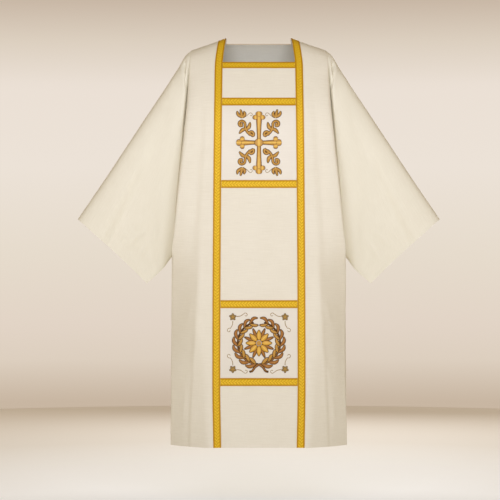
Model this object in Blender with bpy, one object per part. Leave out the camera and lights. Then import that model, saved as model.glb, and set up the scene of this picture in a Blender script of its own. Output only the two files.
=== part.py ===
"""A dalmatic, the wide-sleeved vestment of a deacon, in the form it takes when worn.

Run it with: blender --background --python part.py

The cloth is worked out in two steps. First every panel gets a grid of points on the
garment's outer skin: the body's front and back from level sections of a general figure
with the cloth hanging off it, and each sleeve from rings that fan from the armhole to
the cuff. Then each grid becomes a closed wall of cloth, and every band and panel that
is sewn on is made from the points of the cloth under it, moved out.

Metres, +Z up. The wearer faces -Y, and +X is the wearer's left. The origin is midway
between the shoulders, level with the neck end of the shoulder seams.
"""

import bisect
import math

import bmesh
import bpy
import numpy as np

# ---------------------------------------------------------------- driving sizes
BODY_LENGTH = 1.2535  # neck end of the shoulder seam down to the hem
NECK_HALF_WIDTH = 0.0995  # at the shoulder seam
SHOULDER_TIP = (0.207, -0.037)  # x and z of the outer end of the shoulder seam
UNDERARM = (0.2655, -0.672)  # x and z where the sleeve leaves the side seam
CUFF_TOP = (0.558, -0.560)
CUFF_BOTTOM = (0.3465, -0.7595)
CUFF_FORWARD = 0.012  # the arms reach forward by this at the cuff

CLOTH = 0.0020  # thickness of the body's and the sleeves' cloth
GALLOON_WIDTH = 0.024
GALLOON_THICK = 0.0010
ORPHREY_THICK = 0.0008  # the ivory squares that carry the embroidery
SEAM_GAP = 0.0003
SEAM_EASE = SEAM_GAP / 2  # each side's share of it
ARMHOLE_EASE = 0.9 * SEAM_GAP  # more, because body and sleeve meet there nearly at right angles

# Half the worn sleeve's thickness front to back, and a skew that sets how high up its
# ring it is thickest: under 1 is above the middle, where the arm lies.
ARMHOLE_HALF_DEPTH, ARMHOLE_SKEW = 0.086, 0.48
CUFF_HALF_DEPTH, CUFF_SKEW = 0.058, 0.60
# How blunt a ring's ends are, at the armhole and at the cuff: under 1 rounds them.
UPPER_BLUNTNESS = (1.05, 0.40)
LOWER_BLUNTNESS = (0.50, 0.80)
LOWER_END = 0.7  # share of the way down a ring where the lower end's form takes over
SLEEVE_HEAD = 0.18  # the upper end has its cuff's form from this far along
SLEEVE_PUFF = (0.011, 0.006)  # the sleeve stands out beside the armhole, at its top and its foot
PUFF_RISE, PUFF_FALL = 0.08, 0.45  # shares of the sleeve's length over which it comes and goes
CUFF_HOLLOW = 0.004  # the cuff's edge bows in by this between its corners

# ---------------------------------------------------------------- tables of the form
# name, height at the middle of the front, of the back, and at the armhole or side seam
ROWS = (
    ("shoulder_seam", 0.000, 0.000, -0.0370),
    ("over_shoulder", -0.004, -0.004, -0.0395),
    ("back_neck", -0.016, -0.014, -0.0470),
    ("back_neck_bar", -0.040, -0.0285, -0.0620),
    ("collarbone", -0.062, -0.056, -0.0830),
    ("front_neck", -0.084, -0.080, -0.1040),
    ("front_neck_bar", -0.101, -0.101, -0.1210),
    ("chest", -0.145, -0.145, -0.1600),
    ("chest_bar_1_top", -0.194, -0.194, -0.2030),
    ("chest_bar_1_foot", -0.218, -0.218, -0.2250),
    ("chest_orphrey_high", -0.293, -0.293, -0.2970),
    ("chest_orphrey_low", -0.369, -0.369, -0.3700),
    ("chest_bar_2_top", -0.444, -0.444, -0.4440),
    ("chest_bar_2_foot", -0.468, -0.468, -0.4680),
    ("waist", -0.545, -0.545, -0.5450),
    ("below_waist", -0.608, -0.608, -0.6080),
    ("above_underarm", -0.646, -0.646, -0.6460),
    ("near_underarm", -0.665, -0.665, -0.6650),
    ("underarm", -0.672, -0.672, UNDERARM[1]),
    ("hip", -0.738, -0.738, -0.7380),
    ("skirt_bar_1_top", -0.8075, -0.8075, -0.8075),
    ("skirt_bar_1_foot", -0.8315, -0.8315, -0.8315),
    ("skirt_orphrey_high", -0.902, -0.902, -0.9020),
    ("skirt_orphrey_low", -0.972, -0.972, -0.9720),
    ("skirt_bar_2_top", -1.043, -1.043, -1.0430),
    ("skirt_bar_2_foot", -1.067, -1.067, -1.0670),
    ("knee", -1.130, -1.130, -1.1300),
    ("above_hem", -1.195, -1.195, -1.1950),
    ("hem", -BODY_LENGTH, -BODY_LENGTH, -1.2570),
)
ROW = {name: i for i, (name, *_) in enumerate(ROWS)}

# height, half width of the body at the armhole or side seam
HALF_WIDTH = (
    (SHOULDER_TIP[1], SHOULDER_TIP[0]),
    (-0.050, 0.2095),
    (-0.090, 0.2130),
    (-0.129, 0.2148),
    (-0.203, 0.2190),
    (-0.262, 0.2245),
    (-0.315, 0.2297),
    (-0.440, 0.2432),
    (-0.565, 0.2558),
    (UNDERARM[1], UNDERARM[0]),
    (-0.873, 0.2690),
    (-BODY_LENGTH, 0.2720),
)

# height, how far the front and the back stand from the shoulder seam's plane
DEPTH = (
    (0.000, 0.000, 0.000),
    (-0.004, 0.020, 0.022),
    (-0.015, 0.039, 0.044),
    (-0.030, 0.052, 0.060),
    (-0.056, 0.069, 0.080),
    (-0.084, 0.084, 0.095),
    (-0.101, 0.092, 0.102),
    (-0.145, 0.110, 0.114),
    (-0.194, 0.127, 0.120),
    (-0.240, 0.138, 0.121),
    (-0.300, 0.144, 0.120),
    (-0.370, 0.145, 0.117),
    (-0.545, 0.141, 0.114),
    (-0.807, 0.142, 0.119),
    (-BODY_LENGTH, 0.148, 0.130),
)

# height, how boxy the level section of the front and the back is (2 is an ellipse)
SQUARENESS = (
    (0.000, 2.4, 2.3),
    (-0.101, 4.0, 2.7),
    (-0.200, 6.0, 3.2),
    (-0.300, 7.5, 3.3),
    (-0.500, 7.5, 3.3),
    (-0.672, 7.0, 3.2),
    (-BODY_LENGTH, 6.5, 3.2),
)

# The front is flat between two lines and falls back outside them: height, how far from
# the middle the line is, how steeply the cloth falls back beyond it.
BESIDE_GALLOON = (
    (-0.780, 0.142, 0.00),
    (-0.930, 0.142, 0.40),
    (-1.020, 0.141, 0.58),
    (-1.110, 0.141, 0.66),
    (-BODY_LENGTH, 0.140, 0.85),
)
SIDE_TURN = (
    (-0.250, 0.156, 0.00),
    (-0.440, 0.162, 0.16),
    (-0.565, 0.166, 0.27),
    (-0.656, 0.170, 0.52),
    (-0.747, 0.1765, 1.00),
    (-0.838, 0.181, 1.08),
    (-0.928, 0.187, 1.15),
    (-1.019, 0.195, 1.02),
    (-1.110, 0.201, 1.08),
    (-BODY_LENGTH, 0.211, 1.30),
)
NEAR_ROUND, SIDE_ROUND = 0.010, 0.006  # how far the turns are rounded

# height, distance of the middle of the vertical galloon from the garment's middle
BAND_SET = (
    (0.000, NECK_HALF_WIDTH + GALLOON_WIDTH / 2),
    (-0.030, 0.1165),
    (-0.090, 0.1225),
    (-0.200, 0.1235),
    (-0.460, 0.1262),
    (-0.820, 0.1285),
    (-1.055, 0.1290),
    (-BODY_LENGTH, 0.1260),
)

# Soft folds of the body: panel, side of the garment (+1 the wearer's left), distance
# across the cloth from the middle where it starts and at the hem, half width toward the
# middle and outward, height of the ridge (minus is a trough), and the heights at which
# it starts, is full and has gone.
BODY_FOLDS = (
    # panel, side, from, to, width inward, outward, rise, starts, full, gone
    ("front", -1, 0.166, 0.240, 0.015, 0.021, -0.0060, -0.12, -0.34, -0.76),
    ("front", 1, 0.166, 0.240, 0.015, 0.021, -0.0060, -0.12, -0.34, -0.76),
    ("back", 1, 0.052, 0.066, 0.026, 0.026, -0.0060, -0.14, -0.60, -2.0),
    ("back", -1, 0.060, 0.058, 0.028, 0.028, -0.0055, -0.16, -0.70, -2.0),
    ("back", 1, 0.178, 0.196, 0.026, 0.026, 0.0070, -0.20, -0.65, -2.0),
    ("back", -1, 0.184, 0.192, 0.027, 0.027, 0.0065, -0.22, -0.75, -2.0),
    ("back", 1, 0.236, 0.262, 0.022, 0.022, -0.0100, -0.30, -0.85, -2.0),
    ("back", -1, 0.242, 0.256, 0.023, 0.023, -0.0095, -0.34, -0.80, -2.0),
)

# Folds of a sleeve: sheet, share of the way down the ring at the armhole and at the
# cuff, half width above and below as such a share, rise, and where along the sleeve it
# starts and fills.
SLEEVE_FOLDS = (
    # sheet, at armhole, at cuff, width above, below, rise, starts, full
    ("front", 0.16, 0.44, 0.085, 0.500, -0.0125, 0.10, 0.75),
    ("back", 0.28, 0.46, 0.120, 0.120, -0.0065, 0.10, 0.70),
    ("back", 0.58, 0.76, 0.090, 0.090, 0.0045, 0.10, 0.60),
)

# x and z along the sleeve's upper and lower edges, from the armhole to the cuff
SLEEVE_TOP = (
    SHOULDER_TIP,
    (0.2232, -0.0510),
    (0.2360, -0.0735),
    (0.2778, -0.1415),
    (0.3370, -0.2300),
    (0.3960, -0.3190),
    (0.4700, -0.4310),
    CUFF_TOP,
)
SLEEVE_FOOT = (
    UNDERARM,
    (0.2765, -0.6860),
    (0.2945, -0.7115),
    (0.3200, -0.7360),
    CUFF_BOTTOM,
)
SLEEVE_RINGS = (0.0, 0.08, 0.16, 0.25, 0.34, 0.44, 0.54, 0.65, 0.76, 0.88, 1.0)

CELLS_BETWEEN_BANDS = 3  # columns from the middle to the vertical galloon, each side
CELLS_TO_SIDE = 13  # columns from the galloon to the armhole or side seam
EDGE_SHARE = 0.1  # share of a ring, at both ends, over which a sleeve's folds fade out
FOLD_ENDING = 0.25  # a fold dies out over this, down to the height where it has gone
FOLD_FADE = 0.045  # folds of the body fade out over this, up to the armhole or side seam
SECTION_STEPS = 240  # fineness with which a section's length is measured

# ---------------------------------------------------------------- colours
CREAM = (0.80, 0.73, 0.58, 1.0)
IVORY = (0.87, 0.80, 0.70, 1.0)
GOLD = (0.72, 0.44, 0.05, 1.0)


# ---------------------------------------------------------------- reading the tables
def curve_through(points):
    """A smooth function through (position, value) pairs that never overshoots them."""
    points = sorted(points)
    at = [p[0] for p in points]
    value = [p[1] for p in points]
    slope = [(value[i + 1] - value[i]) / (at[i + 1] - at[i]) for i in range(len(at) - 1)]
    tangent = [slope[0]]
    for before, after in zip(slope, slope[1:]):
        level = before * after <= 0
        tangent.append(0.0 if level else 2 * before * after / (before + after))
    tangent.append(slope[-1])

    def read(x):
        x = min(max(x, at[0]), at[-1])
        i = min(bisect.bisect_right(at, x), len(at) - 1) - 1
        span = at[i + 1] - at[i]
        t = (x - at[i]) / span
        rise = (3 - 2 * t) * t * t
        return (
            value[i] * (1 - rise)
            + value[i + 1] * rise
            + span * t * (1 - t) * (tangent[i] * (1 - t) - tangent[i + 1] * t)
        )

    return read


def column(table, index):
    return curve_through([(row[0], row[index]) for row in table])


def eased(x):
    """0 below 0, 1 above 1, and a smooth step between."""
    x = min(max(x, 0.0), 1.0)
    return x * x * (3 - 2 * x)


half_width_at = column(HALF_WIDTH, 1)
depth_at = {"front": column(DEPTH, 1), "back": column(DEPTH, 2)}
squareness_at = {"front": column(SQUARENESS, 1), "back": column(SQUARENESS, 2)}
front_lines = [column(table, k) for table in (BESIDE_GALLOON, SIDE_TURN) for k in (1, 2)]
band_set_at = column(BAND_SET, 1)
FACING = {"front": -1, "back": 1}  # the direction in Y that each panel faces


# ---------------------------------------------------------------- the body's form
def share_down_armhole(z):
    return (SHOULDER_TIP[1] - z) / (SHOULDER_TIP[1] - UNDERARM[1])


def ring_half_depth(share, along):
    """Half the worn sleeve's thickness, a share of the way down a ring, along the sleeve."""
    widest = ARMHOLE_HALF_DEPTH + (CUFF_HALF_DEPTH - ARMHOLE_HALF_DEPTH) * along
    skew = ARMHOLE_SKEW + (CUFF_SKEW - ARMHOLE_SKEW) * along
    share = min(max(share, 0.0), 1.0)
    upper, lower = UPPER_BLUNTNESS[1], LOWER_BLUNTNESS[0]
    upper += (UPPER_BLUNTNESS[0] - upper) * (1 - eased(along / SLEEVE_HEAD))
    lower += (LOWER_BLUNTNESS[1] - lower) * along
    bluntness = upper + (lower - upper) * eased(share / LOWER_END)
    return widest * max(math.sin(math.pi * share**skew), 0.0) ** bluntness


def soft_least(one, other, rounding):
    """The lesser of two, rounded off where they cross."""
    share = np.clip(0.5 + 0.5 * (other - one) / rounding, 0, 1)
    return other * (1 - share) + one * share - rounding * share * (1 - share)


def falling_back(x, depth, front_depth, z):
    """Depths along a level row of the front, which falls back outside its two lines."""
    near, near_fall, side, side_fall = (at(z) for at in front_lines)
    first = front_depth + NEAR_ROUND - (x - near) * near_fall
    knee = min(front_depth, front_depth + NEAR_ROUND - (side - near) * near_fall)
    second = knee + SIDE_ROUND - (x - side) * side_fall
    return soft_least(soft_least(depth, first, NEAR_ROUND), second, SIDE_ROUND)


def section(panel, z, half_width, side_depth, arcs):
    """Points along one panel's level section at z, at lengths of cloth from its middle.

    Each is (x, depth, normal x, normal depth). An arc of None is the section's end.
    """
    turn = np.linspace(0, math.pi / 2, SECTION_STEPS)
    power = 2 / squareness_at[panel](z)
    depth = depth_at[panel](z)
    x = half_width * np.sin(turn) ** power
    d = side_depth + (depth - side_depth) * np.cos(turn).clip(0) ** power
    if panel == "front":
        d = falling_back(x, d, depth, z)
    run = np.concatenate([[0], np.cumsum(np.hypot(np.diff(x), np.diff(d)))])
    arcs = np.array([run[-1] if arc is None else arc for arc in arcs])
    step = run[-1] / SECTION_STEPS
    before, after = (arcs - step).clip(0), (arcs + step).clip(max=run[-1])
    along_x = np.interp(after, run, x) - np.interp(before, run, x)
    along_d = np.interp(after, run, d) - np.interp(before, run, d)
    size = np.hypot(along_x, along_d)
    return list(
        zip(np.interp(arcs, run, x), np.interp(arcs, run, d), -along_d / size, along_x / size)
    ), run[-1]


def body_fold(panel, side, arc, length, z):
    """How far the cloth stands out of its section there, on a section of that length."""
    rise = 0.0
    for name, fold_side, start_arc, hem_arc, inward, outward, height, *levels in BODY_FOLDS:
        starts, full, gone = levels
        if name != panel or fold_side != side or z > starts:
            continue
        middle = start_arc + (hem_arc - start_arc) * (starts - z) / (starts + BODY_LENGTH)
        width = inward if arc < middle else outward
        grown = eased((starts - z) / (starts - full)) * eased((z - gone) / FOLD_ENDING)
        rise += height * grown * math.exp(-(((arc - middle) / width) ** 2))
    return rise * eased((length - arc) / FOLD_FADE)


def body_row(panel, row):
    """The points of one level row of the front or back, from the wearer's right to left."""
    _, front_z, back_z, side_z = row
    z = front_z if panel == "front" else back_z
    half_width = half_width_at(side_z)
    side_depth = ring_half_depth(share_down_armhole(side_z), 0)
    shape = (panel, z, half_width, side_depth)
    inner = band_set_at(z) - GALLOON_WIDTH / 2
    outer = inner + GALLOON_WIDTH
    _, length = section(*shape, [None])
    arcs = [inner * i / CELLS_BETWEEN_BANDS for i in range(CELLS_BETWEEN_BANDS + 1)]
    arcs += [outer + (length - outer) * i / CELLS_TO_SIDE for i in range(CELLS_TO_SIDE + 1)]
    found, _ = section(*shape, arcs)
    neck_x = found[CELLS_BETWEEN_BANDS][0]
    half = {}
    for side in (-1, 1):
        half[side] = []
        for arc, (x, d, normal_x, normal_d) in zip(arcs, found):
            lean = min(max((x - neck_x) / (half_width - neck_x), 0.0), 1.0)
            rise = body_fold(panel, side, arc, length, z)
            half[side].append(
                (
                    side * (x + rise * normal_x),
                    FACING[panel] * (d + rise * normal_d),
                    z + (side_z - z) * lean,
                )
            )
    return half[-1][:0:-1] + half[1]


def body_grid(panel):
    return np.array([body_row(panel, row) for row in ROWS])


# ---------------------------------------------------------------- the sleeves' form
def edge_line(points):
    """A function from 0 to 1 along a sleeve's edge, by length, to its x and z."""
    run = [0.0]
    for a, b in zip(points, points[1:]):
        run.append(run[-1] + math.dist(a, b))
    across = curve_through([(r / run[-1], p[0]) for r, p in zip(run, points)])
    up = curve_through([(r / run[-1], p[1]) for r, p in zip(run, points)])
    return lambda share: np.array([across(share), up(share)])


sleeve_top_at = edge_line(SLEEVE_TOP)
sleeve_foot_at = edge_line(SLEEVE_FOOT)


def sleeve_fold(sheet, share, along):
    rise = 0.0
    for name, at_armhole, at_cuff, above, below, height, starts, full in SLEEVE_FOLDS:
        if name == sheet:
            middle = at_armhole + (at_cuff - at_armhole) * along
            width = above if share < middle else below
            grown = eased((along - starts) / (full - starts))
            rise += height * grown * math.exp(-(((share - middle) / width) ** 2))
    edge = eased(share / EDGE_SHARE) * eased((1 - share) / EDGE_SHARE)
    return rise * edge


def sleeve_point(sheet, share, along):
    """A point of the wearer's left sleeve: down its ring by share, along it from the armhole."""
    top, foot = sleeve_top_at(along), sleeve_foot_at(along)
    x, z = top + (foot - top) * share
    armhole_z = SHOULDER_TIP[1] + (UNDERARM[1] - SHOULDER_TIP[1]) * share
    chord_x = SHOULDER_TIP[0] + (UNDERARM[0] - SHOULDER_TIP[0]) * share
    x += (half_width_at(armhole_z) - chord_x) * (1 - along)
    hollow = CUFF_HOLLOW * eased(along) * 4 * share * (1 - share)
    across, down = (foot - top) / np.linalg.norm(foot - top)
    x, z = x + hollow * down, z - hollow * across
    beside = eased(along / PUFF_RISE) * (1 - eased((along - PUFF_RISE) / PUFF_FALL))
    puff = SLEEVE_PUFF[0] + (SLEEVE_PUFF[1] - SLEEVE_PUFF[0]) * share
    puff *= beside * math.sqrt(math.sin(math.pi * share))
    depth = ring_half_depth(share, along) + puff + sleeve_fold(sheet, share, along)
    return x, FACING[sheet] * depth - CUFF_FORWARD * eased(along), z


def sleeve_grid(side):
    """Rings of the sleeve, each round from the shoulder down the front and up the back."""
    shares = [share_down_armhole(row[3]) for row in ROWS[: ROW["underarm"] + 1]]
    rings = []
    for along in SLEEVE_RINGS:
        ring = [sleeve_point("front", share, along) for share in shares]
        ring += [sleeve_point("back", share, along) for share in shares[-2:0:-1]]
        rings.append([(side * x, y, z) for x, y, z in ring])
    return np.array(rings)


# ---------------------------------------------------------------- pieces of the skin
def cells(rows, columns, round_it=False):
    """The quads of a grid, as (row, column) corners; round_it joins the last column to the first."""
    last = columns if round_it else columns - 1
    return [
        [(i, j), (i + 1, j), (i + 1, (j + 1) % columns), (i, (j + 1) % columns)]
        for i in range(rows - 1)
        for j in range(last)
    ]


class Skin:
    """One piece of the garment's outer skin: its points, its quads and its outward normals."""

    def __init__(self, points, quads, flipped=False):
        self.points = points
        self.quads = [quad[::-1] for quad in quads] if flipped else quads
        self.normals = np.zeros_like(points)


def place_key(point):
    return tuple(round(value * 1e5) for value in point)


def share_normals(skins):
    """Gives each point the normal of the whole garment there, so that walls meet at seams."""
    whole = bmesh.new()
    corner = {}
    for skin in skins:
        for quad in skin.quads:
            face = []
            for at in quad:
                key = place_key(skin.points[at])
                if key not in corner:
                    corner[key] = whole.verts.new(skin.points[at])
                if corner[key] not in face:
                    face.append(corner[key])
            whole.faces.new(face)
    whole.normal_update()
    for skin in skins:
        for at in {at for quad in skin.quads for at in quad}:
            skin.normals[at] = corner[place_key(skin.points[at])].normal
    whole.free()


def outline_of(quads):
    """The edges on the border of a set of quads, each in the direction its quad goes round."""
    edges = [edge for quad in quads for edge in zip(quad, quad[1:] + quad[:1])]
    inside = set(edges)
    return [(a, b) for a, b in edges if (b, a) not in inside]


def drawn_in(skin, quads, borders):
    """The points, with those on each border moved in along the cloth, away from what they meet.

    A border maps its points to how far they move.
    """
    points = skin.points.copy()
    beside = {}
    for quad in quads:
        for a, b in zip(quad, quad[1:] + quad[:1]):
            beside.setdefault(a, set()).add(b)
            beside.setdefault(b, set()).add(a)
    for border in borders:
        for at, ease in border.items():
            for other in beside.get(at, set()) - border.keys():
                step = skin.points[other] - skin.points[at]
                points[at] += step / np.linalg.norm(step) * ease
    return points


def wall(name, skin, quads, low, high, points=None):
    """A closed wall on the skin, from low to high along its normals, as one object."""
    points = skin.points if points is None else points
    used = sorted({at for quad in quads for at in quad})
    index = {at: i for i, at in enumerate(used)}
    outer = [points[at] + skin.normals[at] * high for at in used]
    inner = [points[at] + skin.normals[at] * low for at in used]
    count = len(used)
    faces = []
    for quad in quads:
        a, b, c, d = (index[at] for at in quad)
        for triangle in ((a, b, c), (a, c, d)):
            faces.append(triangle)
            faces.append(tuple(count + corner for corner in reversed(triangle)))
    for a, b in outline_of(quads):
        rising = tuple(skin.points[a])[::-1] < tuple(skin.points[b])[::-1]
        a, b = index[a], index[b]
        if rising:  # so that the rims of two pieces at one seam are split the same way
            faces += [(b, a, count + a), (b, count + a, count + b)]
        else:
            faces += [(b, a, count + b), (a, count + a, count + b)]
    mesh = bpy.data.meshes.new(name)
    mesh.from_pydata([tuple(p) for p in outer + inner], [], faces)
    mesh.shade_smooth()
    mesh.set_sharp_from_angle(angle=math.radians(50))
    piece = bpy.data.objects.new(name, mesh)
    bpy.context.scene.collection.objects.link(piece)
    return piece


# ---------------------------------------------------------------- cloth
def material(name, colour, roughness, metallic=0.0):
    made = bpy.data.materials.new(name)
    made.use_nodes = True
    shader = made.node_tree.nodes["Principled BSDF"]
    shader.inputs["Base Color"].default_value = colour
    shader.inputs["Roughness"].default_value = roughness
    shader.inputs["Metallic"].default_value = metallic
    return made


def make_body(panel, skin, cream):
    """The front or back, drawn in at its shoulder, armhole and side seams."""
    rows, columns = skin.points.shape[:2]
    seams = [{(0, j): SEAM_EASE for j in range(columns)}]
    for edge in (0, columns - 1):
        side = {(i, edge): ARMHOLE_EASE for i in range(ROW["underarm"] + 1)}
        side.update({(i, edge): SEAM_EASE for i in range(ROW["underarm"] + 1, rows)})
        seams.append(side)
    points = drawn_in(skin, skin.quads, seams)
    piece = wall(panel, skin, skin.quads, -CLOTH, 0.0, points)
    piece.data.materials.append(cream)
    return piece


def make_sleeve(name, skin, cream):
    """A sleeve, drawn in where it is set into the armhole."""
    armhole = {(0, j): ARMHOLE_EASE for j in range(skin.points.shape[1])}
    points = drawn_in(skin, skin.quads, [armhole])
    piece = wall(name, skin, skin.quads, -CLOTH, 0.0, points)
    piece.data.materials.append(cream)
    return piece


# ---------------------------------------------------------------- what is sewn on the cloth
MIDDLE = CELLS_BETWEEN_BANDS + 1 + CELLS_TO_SIDE  # the column at the garment's middle
BAND_COLUMN = {  # the two columns under each vertical galloon
    "right": (MIDDLE - CELLS_BETWEEN_BANDS - 1, MIDDLE - CELLS_BETWEEN_BANDS),
    "left": (MIDDLE + CELLS_BETWEEN_BANDS, MIDDLE + CELLS_BETWEEN_BANDS + 1),
}
BARS = (
    # name, panel, upper row, lower row
    ("bar_neck_front", "front", "front_neck", "front_neck_bar"),
    ("bar_chest_upper", "front", "chest_bar_1_top", "chest_bar_1_foot"),
    ("bar_chest_lower", "front", "chest_bar_2_top", "chest_bar_2_foot"),
    ("bar_skirt_upper", "front", "skirt_bar_1_top", "skirt_bar_1_foot"),
    ("bar_skirt_lower", "front", "skirt_bar_2_top", "skirt_bar_2_foot"),
    ("bar_neck_back", "back", "back_neck", "back_neck_bar"),
)
ORPHREYS = (
    # name, upper row, lower row
    ("orphrey_chest", "chest_bar_1_foot", "chest_bar_2_top"),
    ("orphrey_skirt", "skirt_bar_1_foot", "skirt_bar_2_top"),
)
NECK_ROW = {"front": ROW["front_neck"], "back": ROW["back_neck"]}


def between_bands(top, foot):
    """The quads of a panel between the two vertical galloons and between two rows."""
    return [
        [(i, j), (i + 1, j), (i + 1, j + 1), (i, j + 1)]
        for i in range(top, foot)
        for j in range(BAND_COLUMN["right"][1], BAND_COLUMN["left"][0])
    ]


def make_patch(name, skin, panel, top, foot, thick, look):
    """A bar of galloon or a square of ivory cloth, 0.3 mm clear of all that it lies on or meets."""
    quads = between_bands(ROW[top], ROW[foot])
    if FACING[panel] > 0:
        quads = [quad[::-1] for quad in quads]
    first, last = BAND_COLUMN["right"][1], BAND_COLUMN["left"][0]
    rows, columns = range(ROW[top], ROW[foot] + 1), range(first, last + 1)
    borders = [{(i, j): SEAM_GAP for i in rows} for j in (first, last)]
    if (top, foot) in [orphrey[1:] for orphrey in ORPHREYS]:  # it meets a bar above and below
        borders += [{(i, j): SEAM_GAP for j in columns} for i in (ROW[top], ROW[foot])]
    points = drawn_in(skin, quads, borders)
    piece = wall(name, skin, quads, SEAM_GAP, SEAM_GAP + thick, points)
    piece.data.materials.append(look)
    return piece


def make_clavus(side, front, back, gold):
    """The vertical galloon: one length from the front hem over the shoulder to the back hem."""
    columns = list(BAND_COLUMN[side])
    strip = np.concatenate([front.points[::-1, columns], back.points[1:, columns]])
    skin = Skin(strip, cells(*strip.shape[:2]), flipped=True)
    skin.normals = np.concatenate([front.normals[::-1, columns], back.normals[1:, columns]])
    piece = wall("clavus_" + side, skin, skin.quads, SEAM_GAP, SEAM_GAP + GALLOON_THICK)
    piece.data.materials.append(gold)
    return piece


# ---------------------------------------------------------------- the garment
def body_skin(panel):
    points = body_grid(panel)
    quads = [
        quad
        for quad in cells(*points.shape[:2])
        if quad[0][0] >= NECK_ROW[panel]
        or not BAND_COLUMN["right"][1] <= quad[0][1] < BAND_COLUMN["left"][0]
    ]
    return Skin(points, quads, flipped=FACING[panel] > 0)


def main():
    for old in list(bpy.data.objects):
        bpy.data.objects.remove(old)
    cream = material("cream_cloth", CREAM, 0.85)
    ivory = material("ivory_cloth", IVORY, 0.6)
    gold = material("gold_galloon", GOLD, 0.42, 0.35)

    skins = {panel: body_skin(panel) for panel in FACING}
    for name, side in (("sleeve_right", -1), ("sleeve_left", 1)):
        rings = sleeve_grid(side)
        skins[name] = Skin(rings, cells(*rings.shape[:2], round_it=True), flipped=side > 0)
    share_normals(skins.values())

    for panel in FACING:
        make_body(panel, skins[panel], cream)
    for name in ("sleeve_right", "sleeve_left"):
        make_sleeve(name, skins[name], cream)
    for side in BAND_COLUMN:
        make_clavus(side, skins["front"], skins["back"], gold)
    for name, panel, top, foot in BARS:
        make_patch(name, skins[panel], panel, top, foot, GALLOON_THICK, gold)
    for name, top, foot in ORPHREYS:
        make_patch(name, skins["front"], "front", top, foot, ORPHREY_THICK, ivory)


main()
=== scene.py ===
import math

import bpy
import numpy as np
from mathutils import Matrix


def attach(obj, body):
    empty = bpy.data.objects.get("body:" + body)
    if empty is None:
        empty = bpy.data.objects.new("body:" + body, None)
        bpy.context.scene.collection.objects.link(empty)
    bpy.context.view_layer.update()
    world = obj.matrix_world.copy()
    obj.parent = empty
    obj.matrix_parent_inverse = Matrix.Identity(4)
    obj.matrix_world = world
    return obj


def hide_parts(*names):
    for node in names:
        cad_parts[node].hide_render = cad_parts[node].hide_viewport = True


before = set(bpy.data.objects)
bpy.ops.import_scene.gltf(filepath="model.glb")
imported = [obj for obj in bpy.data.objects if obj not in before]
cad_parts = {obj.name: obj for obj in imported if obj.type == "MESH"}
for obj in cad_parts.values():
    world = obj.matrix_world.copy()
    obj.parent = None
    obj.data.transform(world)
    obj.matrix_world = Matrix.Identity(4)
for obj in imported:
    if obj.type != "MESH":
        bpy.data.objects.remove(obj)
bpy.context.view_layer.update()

# ======================================================================================
# The tunic: a front, a back and two wide sleeves, cut from a cream wool and silk cloth
# of fine weave. They are seamed at the shoulders, the sides and the armholes, and hang
# open from the wearer's shoulders. Metres; the wearer faces -Y, +X is the wearer's left.
TUNIC_LENGTH = 1.2535  # neck end of the shoulder seam down to the hem
NECK_HALF_WIDTH = 0.0995
SHOULDER_TIP = (0.207, -0.037)  # x and z of the outer end of the shoulder seam
UNDERARM = (0.2655, -0.672)
CUFF_TOP = (0.558, -0.560)
CUFF_BOTTOM = (0.3465, -0.7595)
CUFF_FORWARD = 0.012  # the cuff hangs this far before the shoulder's plane
CLOTH = 0.0020  # thickness
GALLOON_WIDTH = 0.024

# name, height at the middle of the front, of the back, and at the armhole or side seam, or
# one height where they are the same
LEVELS = (
    ("shoulder_seam", 0.000, 0.000, -0.0370),
    ("over_shoulder", -0.004, -0.004, -0.0395),
    ("back_neck", -0.016, -0.014, -0.0470),
    ("back_neck_bar", -0.040, -0.0285, -0.0620),
    ("collarbone", -0.062, -0.056, -0.0830),
    ("front_neck", -0.084, -0.080, -0.1040),
    ("front_neck_bar", -0.101, -0.101, -0.1210),
    ("chest", -0.145, -0.145, -0.1600),
    ("chest_bar_1_top", -0.194, -0.194, -0.2030),
    ("chest_bar_1_foot", -0.218, -0.218, -0.2250),
    ("chest_orphrey_high", -0.293, -0.293, -0.2970),
    ("chest_orphrey_low", -0.369, -0.369, -0.3700),
    ("chest_bar_2_top", -0.444),
    ("chest_bar_2_foot", -0.468),
    ("waist", -0.545),
    ("below_waist", -0.608),
    ("above_underarm", -0.646),
    ("near_underarm", -0.665),
    ("underarm", UNDERARM[1]),
    ("hip", -0.738),
    ("skirt_bar_1_top", -0.8075),
    ("skirt_bar_1_foot", -0.8315),
    ("skirt_orphrey_high", -0.902),
    ("skirt_orphrey_low", -0.972),
    ("skirt_bar_2_top", -1.043),
    ("skirt_bar_2_foot", -1.067),
    ("knee", -1.130),
    ("above_hem", -1.195),
    ("hem_fold", -1.2175, -1.2175, -1.2210),
    ("hem", -TUNIC_LENGTH, -TUNIC_LENGTH, -1.2570),
)

# height, half width of the body at the armhole or side seam
HALF_WIDTH = (
    (SHOULDER_TIP[1], SHOULDER_TIP[0]),
    (-0.050, 0.2095),
    (-0.090, 0.2130),
    (-0.129, 0.2148),
    (-0.203, 0.2190),
    (-0.262, 0.2245),
    (-0.315, 0.2297),
    (-0.440, 0.2432),
    (-0.565, 0.2558),
    (UNDERARM[1], UNDERARM[0]),
    (-0.873, 0.2690),
    (-TUNIC_LENGTH, 0.2720),
)

# height, how far the front and the back stand from the shoulder seam's plane
DEPTH = (
    (0.000, 0.000, 0.000),
    (-0.004, 0.020, 0.022),
    (-0.015, 0.039, 0.044),
    (-0.030, 0.052, 0.060),
    (-0.056, 0.069, 0.080),
    (-0.084, 0.084, 0.095),
    (-0.101, 0.092, 0.102),
    (-0.145, 0.110, 0.114),
    (-0.194, 0.127, 0.120),
    (-0.240, 0.138, 0.121),
    (-0.300, 0.144, 0.120),
    (-0.370, 0.145, 0.117),
    (-0.545, 0.141, 0.114),
    (-0.807, 0.142, 0.119),
    (-TUNIC_LENGTH, 0.148, 0.130),
)

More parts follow.
